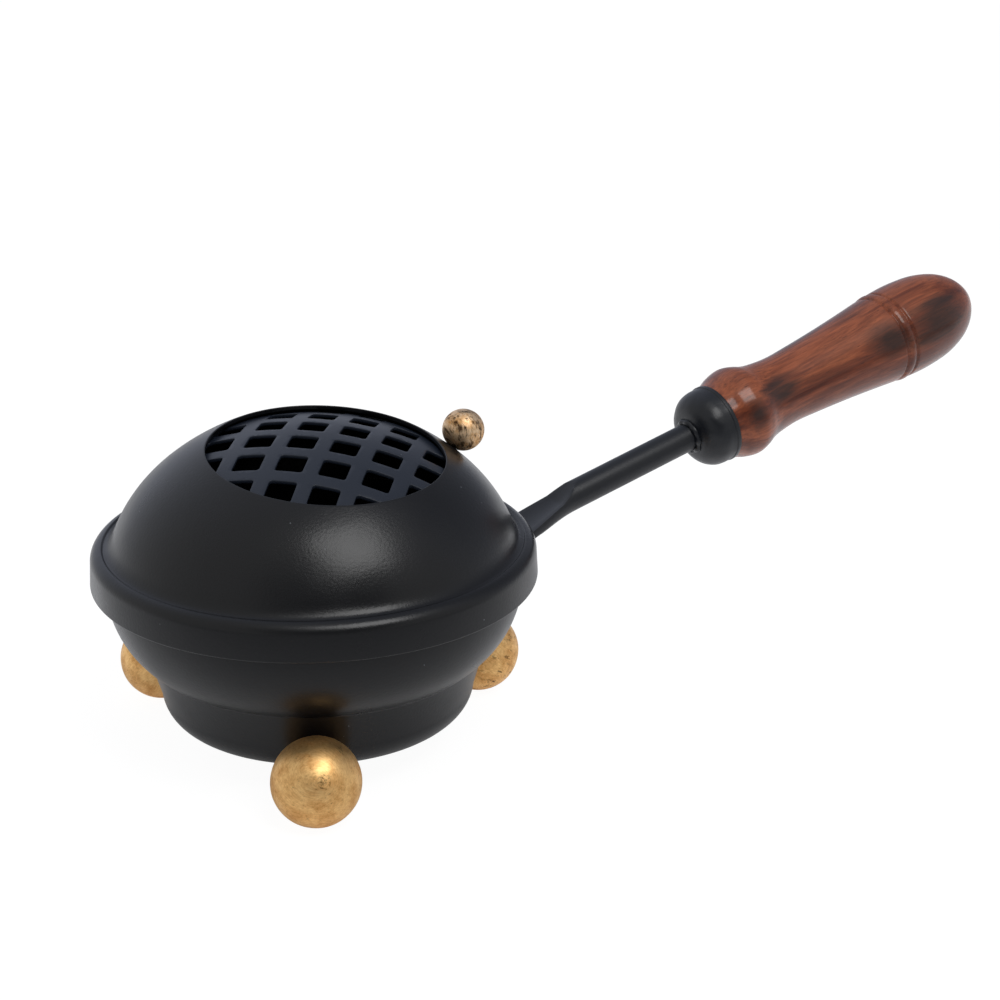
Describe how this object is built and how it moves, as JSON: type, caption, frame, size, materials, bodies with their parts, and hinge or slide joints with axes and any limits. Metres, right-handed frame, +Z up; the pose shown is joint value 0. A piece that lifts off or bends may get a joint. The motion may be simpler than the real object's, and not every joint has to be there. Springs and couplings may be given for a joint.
{
  "type": "charcoal incense burner",
  "caption": "Round black metal charcoal burner on ball feet with a lift-off domed lid, square-holed grille, ball knob and a rising rod handle with a turned wooden grip.",
  "frame": {"origin": "on the bowl's vertical axis, at the floor the ball feet stand on", "axes": "+X along the handle away from the bowl, seen from above; +Z up"},
  "size_m": [0.3183, 0.128, 0.1051],
  "materials": {
    "black_coat": "satin black powder coat on spun steel",
    "blued_grille": "satin blue-black coat on perforated sheet steel",
    "aged_gold": "brushed antique gold with dark patina",
    "turned_wood": "lacquered red-brown hardwood",
    "zinc_steel": "zinc-plated steel"
  },
  "bodies": {
    "base": {"bowl": "black_coat", "bowl_floor": "black_coat", "foot_ball_1": "aged_gold", "foot_ball_2": "aged_gold", "foot_ball_3": "aged_gold", "foot_screws": "zinc_steel", "foot_washers": "zinc_steel", "handle_rod": "black_coat", "handle_weld": "black_coat", "collar": "black_coat", "collar_weld": "black_coat", "grip": "turned_wood"},
    "lid": {"lid_dome": "black_coat", "grille": "blued_grille", "grille_tacks": "blued_grille", "knob_ball": "aged_gold", "knob_screw": "zinc_steel", "knob_washer": "zinc_steel"}
  },
  "joints": [
    {"name": "lid_lift", "type": "slide", "parent": "base", "child": "lid", "axis": [0, 0, 1], "range_m": [0, 0.1]}
  ]
}
